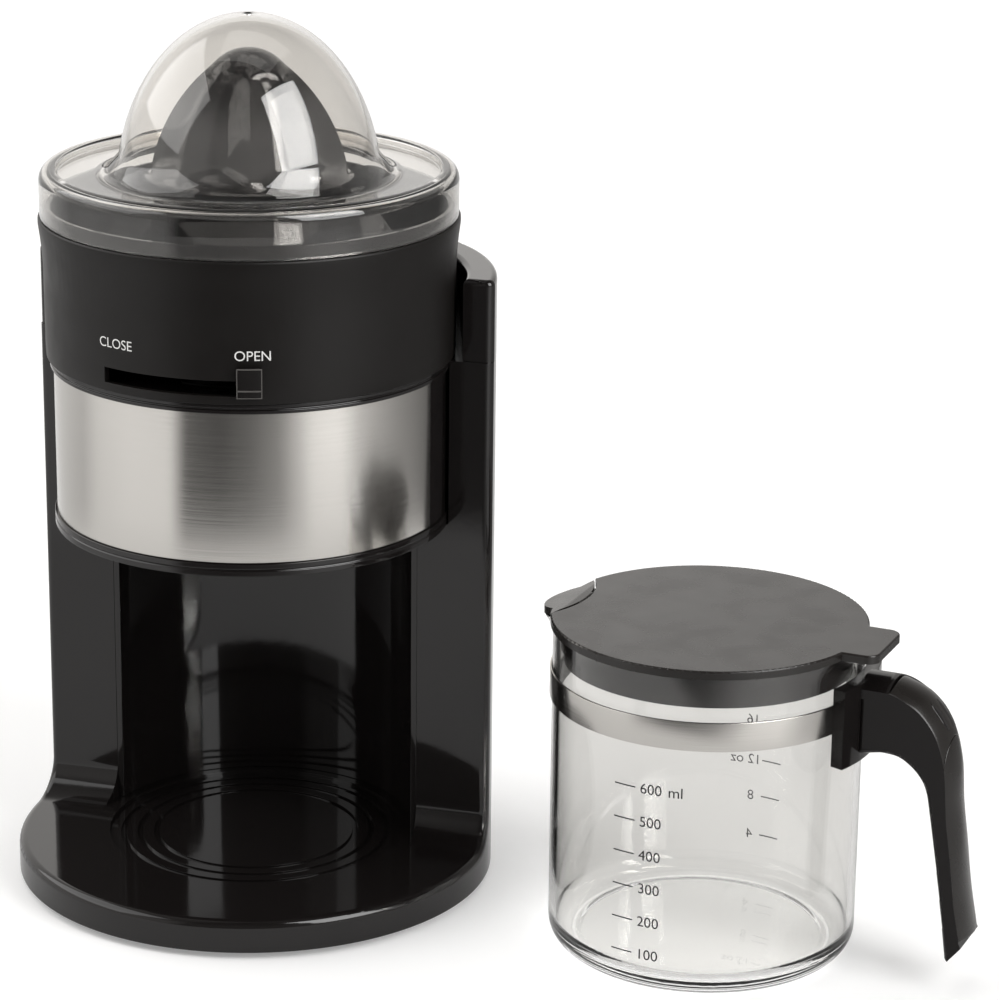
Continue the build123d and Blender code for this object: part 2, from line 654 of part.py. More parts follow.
with BuildPart() as carafe_glass:
    with BuildSketch(carafe_side):
        with BuildLine():
            Polyline((0, 2.4), (foot_ring - 5, 1.2), (foot_ring - 1, 0), (foot_ring + 0.4, 0))
            ThreePointArc((foot_ring + 0.4, 0), (glass_radius - 2.4, 2.6), (glass_radius, heel))
            Polyline((glass_radius, heel), (glass_radius, glass_rim), (0, glass_rim), (0, 2.4))
        make_face()
    revolve(axis=carafe_axis)
    with Locations(carafe_plan.offset((beak_bottom + glass_rim) / 2)):
        with Locations((beak_at, 0, 0)):
            Cone(beak_bottom_radius, beak_top_radius, glass_rim - beak_bottom)
    # inside of the jug and of its beak
    with BuildSketch(carafe_side):
        with BuildLine():
            Line((0, 6.2), (foot_ring - 4, 5.0))
            ThreePointArc((foot_ring - 4, 5.0), (glass_inner - 2.6, 6.6), (glass_inner, heel + 3))
            Polyline((glass_inner, heel + 3), (glass_inner, glass_rim + 1), (0, glass_rim + 1), (0, 6.2))
        make_face()
    revolve(axis=carafe_axis, mode=Mode.SUBTRACT)
    with Locations(carafe_plan.offset((beak_bottom + glass_rim) / 2)):
        with Locations((beak_at, 0, 0)):
            Cone(beak_bottom_radius - glass_wall, beak_top_radius - glass_wall,
                 glass_rim - beak_bottom, mode=Mode.SUBTRACT)
    # the beak's lip dips towards its tip
    with BuildSketch(carafe_side):
        Polygon((beak_at - 4, glass_rim), (beak_at - 18, glass_rim - 4.2), (beak_at - 18, glass_rim + 1),
                align=None)
    extrude(amount=25, both=True, mode=Mode.SUBTRACT)
carafe_glass.part.label = "carafe_glass"

with BuildPart() as band_liner:
    disc(glass_radius + liner_thickness, band_bottom, band_top, hole=glass_radius, at=carafe_at)
band_liner.part.label = "band_liner"

band_inner = glass_radius + liner_thickness
band_outer = band_inner + carafe_band_wall
with BuildPart() as carafe_band:
    disc(band_outer, band_bottom, band_top, hole=band_inner, at=carafe_at)
carafe_band.part.label = "carafe_band"

# the handle: a clamp block on the band, an arm that curves over, and a crowned outer face in two strips
block_bottom, block_top = 79.5, 107.5
block_thickness = 4.8
block_half_angle = 19.5
plate_thickness = 1.6
plate_half_angle = 14.0
screw_height = 97.6                       # line of the clamp screw
plate_levels = (screw_height - 8, screw_height + 6)
screw_seat = 66.0
clamp_screw_radius, clamp_head_radius, head_height = 1.7, 3.6, 2.6
plug_height, plug_width = 11.4, 8.5
plug_inner = 75.5
arm_start = band_outer + 3
seam_height = 79.0                        # centre of the round-topped seam between the two strips
seam_radius = 10.4
inlay_start = 68.0
grip_round = 2.2
crown_width = 7.0                         # how far the crown's slope reaches in from each side
inner_reach = 89.2                        # the handle's inner line stays nearer the jug than this

# outer edge of the handle from the arm to the tip: distance from the jug's axis, and height
edge_points = [(65.8, 105.7), (75.1, 102.6), (80.8, 98.4), (85.6, 91.2), (88.8, 79.7), (90.0, 65.3),
               (91.9, 51.6), (94.0, 35.5), (96.8, 20.1)]
crown_points = [(65.9, 108.3), (76.2, 105.0), (82.7, 100.1), (88.0, 92.1), (91.4, 80.1), (92.6, 65.6),
                (94.5, 52.0), (96.6, 35.9), (99.3, 20.5)]
edge_tangents = ((1, 0), (0.2, -1))
tip_points = [(97.6, 18.0), (93.0, 12.3), (91.6, 13.5)]


def handle_solid(outer_points, half_width, mode=Mode.ADD):
    """Arm and grip in one, from their side outline."""
    with BuildSketch(carafe_side) as profile:
        with BuildLine():
            Line((arm_start, outer_points[0][1]), outer_points[0])
            Spline(*outer_points, tangents=edge_tangents)
            Polyline(outer_points[-1], *tip_points)
            ThreePointArc(tip_points[-1], (88.4, 36.5), (84.0, 64))
            Spline((84.0, 64), (80.8, 75.8), (74.5, 81.9), (66, 83.6), tangents=((-0.2, 1), (-1, 0)))
            Polyline((66, 83.6), (arm_start, 82), (arm_start, outer_points[0][1]))
        make_face()
    extrude(profile.sketch, amount=half_width, both=True, mode=mode)


def outward_plane(start, height):
    """A drawing plane that faces straight out from the jug along the handle; its x points up."""
    return Plane(origin=carafe_side.from_local_coords((start, height)),
                 x_dir=(0, 0, 1), z_dir=carafe_side.x_dir)


def radial_slot(height, width, start, end, mode):
    """A rounded pocket that runs straight out from the jug at the height of the clamp screw."""
    with BuildSketch(outward_plane(start, screw_height)) as profile:
        SlotOverall(height, width)
    extrude(profile.sketch, amount=end - start, mode=mode)


def radial_rod(radius, start, end, mode=Mode.ADD):
    """A round rod or hole on the line of the clamp screw."""
    with BuildSketch(outward_plane(start, screw_height)) as profile:
        Circle(radius)
    extrude(profile.sketch, amount=end - start, mode=mode)


def below_seam(mode):
    """Everything under the round-topped seam."""
    with BuildSketch(outward_plane(arm_start, seam_height)) as profile:
        Circle(seam_radius)
        Rectangle(2 * seam_height, 6 * seam_radius, align=(Align.MAX, Align.CENTER))
    extrude(profile.sketch, amount=handle_half_width * 5, mode=mode)


def before_inlay(mode):
    """Everything nearer the jug than the start of the inlay, above the arm's underside."""
    with BuildSketch(carafe_side) as profile:
        with Locations((inlay_start, block_top - 2 * handle_crown)):
            Rectangle(20, 20, align=(Align.MAX, Align.MIN))
    extrude(profile.sketch, amount=2 * handle_half_width, both=True, mode=mode)


def long_edges(solid, outer):
    """The long edges of the handle's two sides, along its outer or its inner line."""
    found = []
    for edge in solid.edges():
        middle = carafe_side.to_local_coords(edge @ 0.5)
        on_outer_line = middle.Y > 100 or middle.X > inner_reach
        if abs(abs(middle.Z) - handle_half_width) < 0.05 and edge.length > 6 and on_outer_line == outer:
            found.append(edge)
    return found


# the whole handle with its crown, from which the strips and the plug are taken
with BuildPart() as crowned_handle:
    handle_solid(crown_points, handle_half_width)
    side_faces = crowned_handle.faces().filter_by(GeomType.PLANE).sort_by(
        lambda f: carafe_side.to_local_coords(f.center()).Z)
    for side_face in (side_faces[0], side_faces[-1]):
        edges_here = [e for e in long_edges(crowned_handle, outer=True)
                      if (e @ 0.5 - side_face.center()).dot(carafe_side.z_dir) ** 2 < 1]
        chamfer(edges_here, handle_crown, crown_width, reference=side_face)

with BuildPart() as arm_crown:
    add(crowned_handle.part)
    before_inlay(Mode.INTERSECT)

with BuildPart() as handle_inlay:
    add(crowned_handle.part)
    handle_solid(edge_points, handle_half_width + 1, mode=Mode.SUBTRACT)
    below_seam(Mode.SUBTRACT)
    before_inlay(Mode.SUBTRACT)
    radial_slot(plug_height, plug_width, plug_inner - 2, 100, Mode.SUBTRACT)
handle_inlay.part.label = "handle_inlay"

with BuildPart() as handle_grip:
    add(crowned_handle.part)
    handle_solid(edge_points, handle_half_width + 1, mode=Mode.SUBTRACT)
    below_seam(Mode.INTERSECT)
handle_grip.part.label = "handle_grip"

with BuildPart() as handle_body:
    handle_solid(edge_points, handle_half_width)
    fillet(long_edges(handle_body, outer=False), grip_round)
    add(arm_crown.part)
    sector(band_outer, band_outer + block_thickness, -block_half_angle, block_half_angle,
           block_bottom, block_top, plan=carafe_plan)
    sector(band_outer, band_outer + plate_thickness, -plate_half_angle, plate_half_angle, *plate_levels,
           plan=carafe_plan, mode=Mode.SUBTRACT)
    radial_rod(clamp_screw_radius, band_outer, screw_seat + 2, mode=Mode.SUBTRACT)
    radial_rod(clamp_head_radius + 0.4, screw_seat, plug_inner, mode=Mode.SUBTRACT)
    radial_slot(plug_height, plug_width, plug_inner, 100, Mode.SUBTRACT)
handle_body.part.label = "handle_body"

with BuildPart() as handle_plug:
    add(crowned_handle.part)
    radial_slot(plug_height - 0.3, plug_width - 0.3, plug_inner, 100, Mode.INTERSECT)
handle_plug.part.label = "handle_plug"

with BuildPart() as clamp_plate:
    sector(band_outer, band_outer + plate_thickness, -plate_half_angle, plate_half_angle, *plate_levels,
           plan=carafe_plan)
    radial_rod(clamp_screw_radius, band_outer - 1, screw_seat, mode=Mode.SUBTRACT)
clamp_plate.part.label = "clamp_plate"

with BuildPart() as handle_screw:
    radial_rod(clamp_screw_radius, band_outer + 0.3, screw_seat)
    radial_rod(clamp_head_radius, screw_seat, screw_seat + head_height)
    radial_slot(5.0, 1.0, screw_seat + head_height - 1, screw_seat + head_height, Mode.SUBTRACT)
handle_screw.part.label = "handle_screw"

# lid, its skirt and the flap over the beak
flap_arc = 40.0
flap_centre = -85.4
flap_gap = 0.6
hinge_at = (-46.2, 118.75)                # distance from the jug's axis and height of the flap's hinge
hinge_radius = 0.6
hinge_half_length = 6.0
tab_length = 64.7
tab_half_width = 14.6

with BuildPart() as carafe_lid:
    with BuildSketch(carafe_plan.offset(lid_bottom)) as lid_outline:
        Circle(lid_radius)
        with Locations((tab_length / 2, 0)):
            RectangleRounded(tab_length, 2 * tab_half_width, 4.5)
        with Locations((flap_centre, 0)):
            Circle(flap_arc, mode=Mode.SUBTRACT)
    extrude(amount=lid_top - lid_bottom)
    fillet(carafe_lid.edges().group_by(Axis.Z)[-1], 0.6)
    with BuildSketch(carafe_side):
        with Locations(hinge_at):
            Circle(hinge_radius + gap)
    extrude(amount=hinge_half_length + gap, both=True, mode=Mode.SUBTRACT)
carafe_lid.part.label = "carafe_lid"

skirt_step = 110.5
skirt_bottom = 105.0
skirt_outer, skirt_lower, skirt_inner = 51.0, 49.8, 48.4
notch_half_angle = 27.0
with BuildPart() as lid_skirt:
    disc(skirt_outer, skirt_step, lid_bottom, hole=skirt_inner, at=carafe_at)
    disc(skirt_lower, skirt_bottom, skirt_step, hole=skirt_inner, at=carafe_at)
    sector(45, 55, 180 - notch_half_angle, 180 + notch_half_angle, skirt_bottom, lid_bottom,
           plan=carafe_plan, mode=Mode.SUBTRACT)
    for angle in (notch_half_angle + 5, notch_half_angle + 13):
        for turn_sign in (1, -1):
            sector(48, 52, 180 + turn_sign * angle - 0.8, 180 + turn_sign * angle + 0.8,
                   skirt_bottom, skirt_step, plan=carafe_plan, mode=Mode.SUBTRACT)
lid_skirt.part.label = "lid_skirt"

with BuildPart() as spout_cover:
    with BuildSketch(carafe_side):
        Polygon((-40, lid_bottom + 0.1), (-50, lid_bottom + 0.1), (-62, lid_bottom - 3.5),
                (-62, lid_top - 3.6), (-49, lid_top), (-40, lid_top), align=None)
    extrude(amount=30, both=True)
    with BuildSketch(carafe_plan.offset(lid_bottom - 5)):
        Circle(lid_radius)
        with Locations((beak_at, 0)):
            Circle(beak_top_radius - 1)
        with Locations((flap_centre, 0)):
            Circle(flap_arc - flap_gap, mode=Mode.INTERSECT)
    extrude(amount=15, mode=Mode.INTERSECT)
    with BuildSketch(carafe_side):
        with Locations(hinge_at):
            Circle(hinge_radius)
    extrude(amount=hinge_half_length, both=True)
spout_cover.part.label = "spout_cover"

# ================= one file for each piece =================
pieces = [base_stand, base_plate, rubber_feet, base_screws, cord_gland, bay_liner, column_cap,
          bay_ceiling, motor_housing, steel_band, top_deck, juice_duct,
          motor_can, motor_magnets, motor_end_cap, rotor, pinion, intermediate_gear, intermediate_pin,
          output_gear, gearbox_case, gearbox_cover, motor_screws, gearbox_screws,
          lower_bush, upper_bush, shaft_seal, drive_shaft, shaft_spring, switch_body, switch_plunger,
          juice_bowl, outlet_seal, flow_lever, strainer, reamer, dust_cover,
          carafe_glass, band_liner, carafe_band, handle_body, handle_inlay, handle_grip, handle_plug,
          clamp_plate, handle_screw, carafe_lid, lid_skirt, spout_cover]
for piece in pieces:
    export_step(piece.part, f"parts/{piece.part.label}.step")
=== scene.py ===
# %% [markdown]
# # A citrus press juicer with its glass carafe
#
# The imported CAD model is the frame: it fixes every place and size, in metres, with +Z up and the
# front towards -Y. This notebook dresses it. Pieces whose look depends on a clean surface (the
# clear dome, the steel bands, the ribbed reamer, the strips of the handle) are modelled again over
# their solids. The other pieces that are seen keep the solid's form and get soft edges, and the
# plain inner pieces keep their CAD mesh and only get a material.

# %% Start
import json
from math import atan2, cos, hypot, pi, radians, sin

import bmesh
import bpy
from mathutils import Matrix, Vector


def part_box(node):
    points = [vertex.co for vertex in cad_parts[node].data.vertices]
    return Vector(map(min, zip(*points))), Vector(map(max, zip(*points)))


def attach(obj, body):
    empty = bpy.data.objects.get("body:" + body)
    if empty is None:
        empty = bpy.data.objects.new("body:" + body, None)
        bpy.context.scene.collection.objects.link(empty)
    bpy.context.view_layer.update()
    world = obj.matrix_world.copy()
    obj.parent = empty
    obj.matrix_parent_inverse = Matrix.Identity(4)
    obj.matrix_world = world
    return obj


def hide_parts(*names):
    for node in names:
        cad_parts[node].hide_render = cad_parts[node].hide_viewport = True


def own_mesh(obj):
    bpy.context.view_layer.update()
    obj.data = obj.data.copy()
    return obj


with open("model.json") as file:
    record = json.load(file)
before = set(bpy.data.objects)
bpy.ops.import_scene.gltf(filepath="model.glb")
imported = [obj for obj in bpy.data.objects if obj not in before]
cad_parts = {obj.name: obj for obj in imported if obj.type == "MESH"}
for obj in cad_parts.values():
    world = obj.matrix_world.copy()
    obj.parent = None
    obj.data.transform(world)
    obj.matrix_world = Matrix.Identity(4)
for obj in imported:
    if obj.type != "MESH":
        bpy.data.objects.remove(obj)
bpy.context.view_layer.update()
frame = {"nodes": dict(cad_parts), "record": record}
nodes = frame["nodes"]
mm = 0.001

# %% [markdown]
# ## Where things are
#
# Places could be typed in as numbers. They are read from the boxes of CAD nodes instead, so that
# the dressing follows the frame when a size in the source changes. The juicer stands on the
# vertical axis through the origin, and the carafe on its own axis, which is the middle of its
# steel ring. Outlines are written in millimetres, as a maker would, and `mm` makes them metres.

# %% Axes
ring_out = 0.8  # how far the carafe's steel ring stands out from the glass, in mm
ring_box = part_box("carafe_band")
jug = ((ring_box[0] + ring_box[1]) / 2).xy
glass_radius = ((ring_box[1].x - ring_box[0].x) / 2 - ring_out * mm) / mm
print("carafe axis", [round(v / mm, 1) for v in jug], "glass radius", round(glass_radius, 1))

# %% [markdown]
# ## Materials
#
# Moulded plastic is never one flat colour. Its gloss changes a little where the mould was polished
# by hand, and its surface has a faint orange peel or a fine eroded grain. Scanned textures could
# show that, but noise needs no files and is easy to tune. It is read on the object's own
# coordinates, so it stays fixed to the piece when the piece moves. `finish` makes a shader with
# constant values, `noise` a pattern, and `uneven` and `grain` lead the pattern to the roughness
# and to the surface.


# %% Material helpers
def finish(name, colour, roughness, **sockets):
    """A new Principled material; sockets are further constant values by their labels."""
    material = bpy.data.materials.new(name)
    material.use_nodes = True
    shader = material.node_tree.nodes["Principled BSDF"]
    shader.inputs["Base Color"].default_value = (*colour, 1)
    shader.inputs["Roughness"].default_value = roughness
    for label, value in sockets.items():
        shader.inputs[label.replace("_", " ").title().replace("Ior", "IOR")].default_value = value
    return material


def noise(material, scale, detail=2.0, stretch=(1, 1, 1), coordinates="Object"):
    """A noise pattern in the material, on Object or UV coordinates."""
    tree = material.node_tree
    place = tree.nodes.new("ShaderNodeTexCoord")
    mapping = tree.nodes.new("ShaderNodeMapping")
    mapping.inputs["Scale"].default_value = stretch
    pattern = tree.nodes.new("ShaderNodeTexNoise")
    pattern.inputs["Scale"].default_value = scale
    pattern.inputs["Detail"].default_value = detail
    tree.links.new(place.outputs[coordinates], mapping.inputs["Vector"])
    tree.links.new(mapping.outputs["Vector"], pattern.inputs["Vector"])
    return pattern.outputs["Fac"]


# %% Roughness and bump
noise_low, noise_high = 0.3, 0.7  # nearly all of a noise pattern lies between these


def uneven(material, source, low, high):
    """Roughness that wanders between two values."""
    tree = material.node_tree
    ramp = tree.nodes.new("ShaderNodeMapRange")
    ramp.inputs["From Min"].default_value = noise_low
    ramp.inputs["From Max"].default_value = noise_high
    ramp.inputs["To Min"].default_value = low
    ramp.inputs["To Max"].default_value = high
    tree.links.new(source, ramp.inputs["Value"])
    tree.links.new(ramp.outputs["Result"], tree.nodes["Principled BSDF"].inputs["Roughness"])


def mottled(name, colour, roughness, patches, between, **sockets):
    """A finish whose gloss is uneven: patches are a noise's scale and detail."""
    material = finish(name, colour, roughness, **sockets)
    uneven(material, noise(material, *patches), *between)
    return material


def grain(material, source, height, strength=1.0):
    """Bump of the given height in metres."""
    tree = material.node_tree
    bump = tree.nodes.new("ShaderNodeBump")
    bump.inputs["Distance"].default_value = height
    bump.inputs["Strength"].default_value = strength
    tree.links.new(source, bump.inputs["Height"])
    tree.links.new(bump.outputs["Normal"], tree.nodes["Principled BSDF"].inputs["Normal"])


# %% [markdown]
# ### Black plastics
#
# Hardly two blacks on the machine are the same. The stand is polished like a piano, with a
# mirror's gloss and the slightest orange peel. The carafe's handle has the same pigment but throws
# back less light. The bowl's ring comes from a finely eroded mould and looks matt and warm. The
# lid of the carafe is between the two, the raised lines on the lever's tab are a lighter grey, a
# painted highlight for the light that their edges catch, and the mouldings inside are plain. One
# dark grey for all of them would be simpler, but it is these differences that tell the eye where
# one piece ends and the next begins.

# %% Black plastics
polished_pigment = (0.0085, 0.0072, 0.0070)

piano_black = mottled("piano_black_plastic", polished_pigment, 0.07, (35, 2), (0.05, 0.10))
grain(piano_black, noise(piano_black, 160), height=0.000012)

soft_black = mottled("eroded_black_plastic", (0.0062, 0.0050, 0.0044), 0.42, (60, 4), (0.37, 0.48),
                     specular_ior_level=0.28)
grain(soft_black, noise(soft_black, 2600, 3), height=0.00003, strength=0.5)

handle_black = mottled("handle_black_plastic", polished_pigment, 0.12, (35, 2), (0.09, 0.16),
                       specular_ior_level=0.22)

satin_black = mottled("satin_black_plastic", (0.0125, 0.0105, 0.0092), 0.26, (70, 3), (0.22, 0.31))
grain(satin_black, noise(satin_black, 1800, 3), height=0.00002, strength=0.4)

# A lighter grey for the raised lines on the lever's tab: a painted highlight on their edges.
tab_highlight_grey = mottled("painted_highlight_plastic", (0.10, 0.095, 0.09), 0.35, (200, 2), (0.3, 0.45))
plain_black = mottled("plain_black_plastic", (0.018, 0.017, 0.017), 0.5, (90, 3), (0.45, 0.6))
print("black plastics", piano_black.name, soft_black.name, handle_black.name, satin_black.name)

# %% [markdown]
# ### Brushed steel
#
# The band on the drum and the ring round the carafe are brushed along their length: a belt leaves
# thousands of fine parallel scratches. They could be modelled or painted one by one, but from afar
# they only spread each reflection across the scratches, up and down the band, and anisotropy does
# just that, along the pieces' own UV map. Streaks in the roughness and a very small bump, both
# drawn out along the same map, give the scratches that are seen close up.

# %% Brushed steel
round_map = "round"  # the UV map of a turned piece, with U round it and V up it

steel = finish("brushed_steel", (0.62, 0.60, 0.57), 0.20, metallic=1.0, anisotropic=0.6,
               anisotropic_rotation=0.25)
uneven(steel, noise(steel, 1.0, 6.0, stretch=(25, 2600, 1), coordinates="UV"), 0.13, 0.24)
scratches = noise(steel, 1.0, 3.0, stretch=(40, 4200, 1), coordinates="UV")
grain(steel, scratches, height=0.000006, strength=0.6)
tangent = steel.node_tree.nodes.new("ShaderNodeTangent")
tangent.direction_type = "UV_MAP"
tangent.uv_map = round_map
steel.node_tree.links.new(tangent.outputs["Tangent"],
                          steel.node_tree.nodes["Principled BSDF"].inputs["Tangent"])
print("steel along the map", tangent.uv_map)

# %% [markdown]
# ### Clear plastic and glass
#
# The dome is clear styrene with a hint of smoke, the carafe thin borosilicate glass. Either could
# be a single see-through skin, but then nothing would bend behind it. Both have real walls here,
# with an inner and an outer face, so that light bends in and out again as it should and the rims
# go dark. The tint is small because each view passes two walls, and a wide, shallow bump gives the
# slow waves of a blown or moulded wall.

# %% Clear materials
clear_plastic = finish("clear_smoky_plastic", (0.92, 0.90, 0.87), 0.01, ior=1.50,
                       transmission_weight=1.0)
grain(clear_plastic, noise(clear_plastic, 45), height=0.00004, strength=0.25)
clear_glass = finish("clear_glass", (0.965, 0.960, 0.945), 0.0, ior=1.47, transmission_weight=1.0)
grain(clear_glass, noise(clear_glass, 22), height=0.00006, strength=0.2)
print("clear materials", clear_plastic.name, clear_glass.name)

# %% [markdown]
# ### The rest
#
# Rubber feet and seals, zinc-plated steel, sintered brass, natural nylon and ferrite are seen only
# from below, or when the pieces are apart, so each is one colour with a little unevenness. The two
# screen-printing inks are matt beside what they are printed on. The frame's record says which slot
# each node's material belongs to, and one table leads from the slots to the finishes.

# %% Small materials
rubber = mottled("black_rubber", (0.014, 0.014, 0.014), 0.7, (400, 3), (0.6, 0.8))
zinc = mottled("zinc_plate", (0.55, 0.55, 0.56), 0.35, (300, 4), (0.25, 0.45), metallic=1.0)
brass = mottled("sintered_brass", (0.60, 0.44, 0.20), 0.45, (900, 4), (0.35, 0.6), metallic=1.0)
nylon = mottled("natural_nylon", (0.78, 0.77, 0.70), 0.45, (200, 3), (0.38, 0.52))
ferrite = mottled("ferrite", (0.05, 0.05, 0.05), 0.6, (500, 3), (0.5, 0.7))
dark_ink = mottled("dark_ink", (0.006, 0.006, 0.006), 0.5, (800, 3), (0.42, 0.6),
                   specular_ior_level=0.2)
pale_ink = mottled("pale_ink", (0.85, 0.85, 0.84), 0.5, (800, 3), (0.42, 0.6))
print("materials so far", len(bpy.data.materials))

# %% Finishes of the nodes
slot_finish = {"gloss_black": piano_black, "soft_black": soft_black, "satin_black": satin_black,
               "matt_black": plain_black, "steel": steel, "clear_plastic": clear_plastic,
               "clear_glass": clear_glass, "rubber": rubber, "zinc": zinc, "brass": brass,
               "nylon": nylon, "magnet": ferrite, "dark_print": dark_ink, "pale_print": pale_ink}
node_slot = {row["node"]: row["material_slot"] for row in frame["record"]["subparts"]}
for name, node in nodes.items():
    node.data.materials.clear()
    node.data.materials.append(slot_finish[node_slot[name]])
print("CAD nodes with a finish", len(node_slot))

# %% [markdown]
# ## Making pieces
#
# Two ways of making a piece come up again and again. A turned piece is an outline in the plane of
# its radius and height, whose corners are rounded as a vertex bevel and which is then spun round
# the axis: this gives clean rings of faces, as a lathe would. A moulding that the frame already
# shapes well is a merged copy of its node, whose sharp edges get the small radius that every mould
# leaves. `place_piece` then names it, gives it its finish and body, and hides the node it stands
# for.

# %% Placing a piece
body_of = {node: body for body, members in frame["record"]["behaviour"]["bodies"].items()
           for node in members}


def place_piece(name, bm, node, material=None, hides=True, sharp=32):
    """Makes a bmesh into a piece that rides with a node's body and may stand for the node."""
    mesh = bpy.data.meshes.new(name)
    bm.to_mesh(mesh)
    bm.free()
    mesh.shade_smooth()
    mesh.set_sharp_from_angle(angle=radians(sharp))
    mesh.materials.append(material or slot_finish[node_slot[node]])
    piece = bpy.data.objects.new(name, mesh)
    bpy.context.scene.collection.objects.link(piece)
    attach(piece, body_of[node])
    if hides:
        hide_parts(node)
    print(name, len(mesh.polygons), "faces")
    return piece


# %% Turned pieces
touching = 1e-7  # points nearer than this, in metres, are one point


def turned(outline, rounds=(), centre=(0, 0), steps=180, start=0.0, angle=2 * pi):
    """Spins a closed (radius, height) outline in mm; rounds are (corner number, radius) pairs."""
    bm = bmesh.new()
    corners = [bm.verts.new((radius * mm, 0, height * mm)) for radius, height in outline]
    bm.faces.new(corners)
    for corner, radius in rounds:
        bmesh.ops.bevel(bm, geom=[corners[corner]], offset=radius * mm, affect="VERTICES",
                        segments=5, profile=0.5, material=-1)
    bmesh.ops.delete(bm, geom=bm.faces[:], context="FACES_ONLY")
    on_axis = [edge for edge in bm.edges if all(abs(v.co.x) < touching for v in edge.verts)]
    bmesh.ops.delete(bm, geom=on_axis, context="EDGES")
    bmesh.ops.rotate(bm, verts=bm.verts[:], cent=(0, 0, 0), matrix=Matrix.Rotation(start, 3, "Z"))
    whole = angle > 2 * pi - 0.001
    ring = bm.edges[:]
    spun = bmesh.ops.spin(bm, geom=bm.verts[:] + ring, cent=(0, 0, 0), axis=(0, 0, 1), angle=angle,
                          steps=steps, use_merge=whole)
    if not whole:
        far_ring = [edge for edge in spun["geom_last"] if isinstance(edge, bmesh.types.BMEdge)]
        for end in (ring, far_ring):
            bmesh.ops.contextual_create(bm, geom=end)
    bmesh.ops.remove_doubles(bm, verts=bm.verts[:], dist=touching)
    bmesh.ops.recalc_face_normals(bm, faces=bm.faces[:])
    bmesh.ops.translate(bm, verts=bm.verts[:], vec=(centre[0], centre[1], 0))
    return bm


def hoop(inner, outer, low, high, edge=0.0, **spin):
    """A turned ring or bar between two radii and two heights, its outer edges rounded or not."""
    return turned([(inner, low), (outer, low), (outer, high), (inner, high)],
                  rounds=[(1, edge), (2, edge)] if edge else (), **spin)


# %% Softened copies
def softened(node, width, material=None):
    """A merged copy of a node, with its sharp edges rounded by a bevel modifier."""
    bm = bmesh.new()
    bm.from_mesh(nodes[node].data)
    bmesh.ops.remove_doubles(bm, verts=bm.verts[:], dist=1e-6)
    bmesh.ops.dissolve_limit(bm, angle_limit=radians(0.2), verts=bm.verts[:], edges=bm.edges[:])
    piece = place_piece(node + "_moulding", bm, node, material=material, sharp=180)
    if "custom_normal" in piece.data.attributes:
        piece.data.attributes.remove(piece.data.attributes["custom_normal"])
    edge = piece.modifiers.new("edge", "BEVEL")
    edge.width = width * mm
    edge.segments = 2
    edge.limit_method = "ANGLE"
    edge.angle_limit = radians(32)
    edge.use_clamp_overlap = True
    edge.harden_normals = False
    flat = piece.modifiers.new("flat", "WEIGHTED_NORMAL")
    flat.keep_sharp = False
    flat.weight = 50
    return piece


# %% [markdown]
# ## The stand
#
# The stand is one large moulding: a round foot, two wings that sweep up from it, and the back of
# the column. The bay's liner, the cap and the ring where the cord goes in are pieces of their own,
# and all are polished black. They could be modelled again, but the solids already have their
# forms. What they lack is the fine radius at each edge, which on polished black is a bright line,
# so each gets one by a bevel modifier, in mm.

# %% Stand
for node, width in (("base_stand", 0.35), ("bay_liner", 0.25), ("column_cap", 0.3),
                    ("cord_gland", 0.2)):
    softened(node, width)

# %% [markdown]
# ## The drum
#
# The drum holds motor and gearbox. Its ceiling ring, housing and trim ring are mouldings like those
# of the stand. The steel band is a strip let into the front of the housing. A copy of the solid
# would do for its form, but not for its look, because the brushing has to follow a UV map that
# runs round the drum. So the strip is turned, and gets that map.

# %% Drum mouldings
for node, width in (("bay_ceiling", 0.25), ("motor_housing", 0.2), ("top_deck", 0.2)):
    softened(node, width)


# %% Map round a turned piece
def wrap_uv(bm, centre=(0, 0)):
    """A UV map in metres: U runs round the axis, V up it."""
    layer = bm.loops.layers.uv.new(round_map)
    for face in bm.faces:
        middle = face.calc_center_median()
        about = atan2(middle.y - centre[1], middle.x - centre[0])
        radius = hypot(middle.y - centre[1], middle.x - centre[0])
        for loop in face.loops:
            spot = loop.vert.co
            turn = atan2(spot.y - centre[1], spot.x - centre[0]) - about
            turn = (turn + pi) % (2 * pi) - pi
            loop[layer].uv = ((about + turn) * radius, spot.z)
    return bm


# %% Steel band
sheet_edge = 0.15  # round of a cut steel edge
band_depth = 0.5  # how deep the strip lies in the housing
band_half = radians(83)  # the strip's reach to each side of the front
band_low, band_high = (corner.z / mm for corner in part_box("steel_band"))
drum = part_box("motor_housing")[1].x / mm
band = hoop(drum - band_depth, drum, band_low, band_high, sheet_edge, steps=120,
            start=-pi / 2 - band_half, angle=2 * band_half)
place_piece("drum_band", wrap_uv(band), "steel_band")

# %% [markdown]
# ## The shaft's spring
#
# The spring under the shaft's collar is the one piece that changes its shape, as the reamer is
# pressed down. Here it is a copy of its node, and it gets a mesh of its own.

# %% Spring
coil = bmesh.new()
coil.from_mesh(nodes["shaft_spring"].data)
spring = place_piece("coil_spring", coil, "shaft_spring")
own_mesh(spring)

# %% [markdown]
# ## Bowl, lever and strainer
#
# The bowl's ring is a soft-edged moulding with a slot for the lever that opens the juice outlet.
# The lever's tab has a raised bar to push against and a fine raised rim, both in a lighter grey:
# a painted highlight for the light that their edges catch. They are too fine for the solid, and a
# painted line would not catch the light, so they are short turned bars on the tab's face.

# %% Bowl
for node, width in (("juice_bowl", 0.35), ("flow_lever", 0.5), ("strainer", 0.25)):
    softened(node, width)

# %% Bars on the lever's tab
lever_middle = -90 + 19.7  # plan angle of the tab
tab_inside, tab_face = 74.5, 74.7
rim_low, rim_high, rim_half = 198.8, 209.1, 3.3
rim_line, rim_rise = 0.25, 0.12


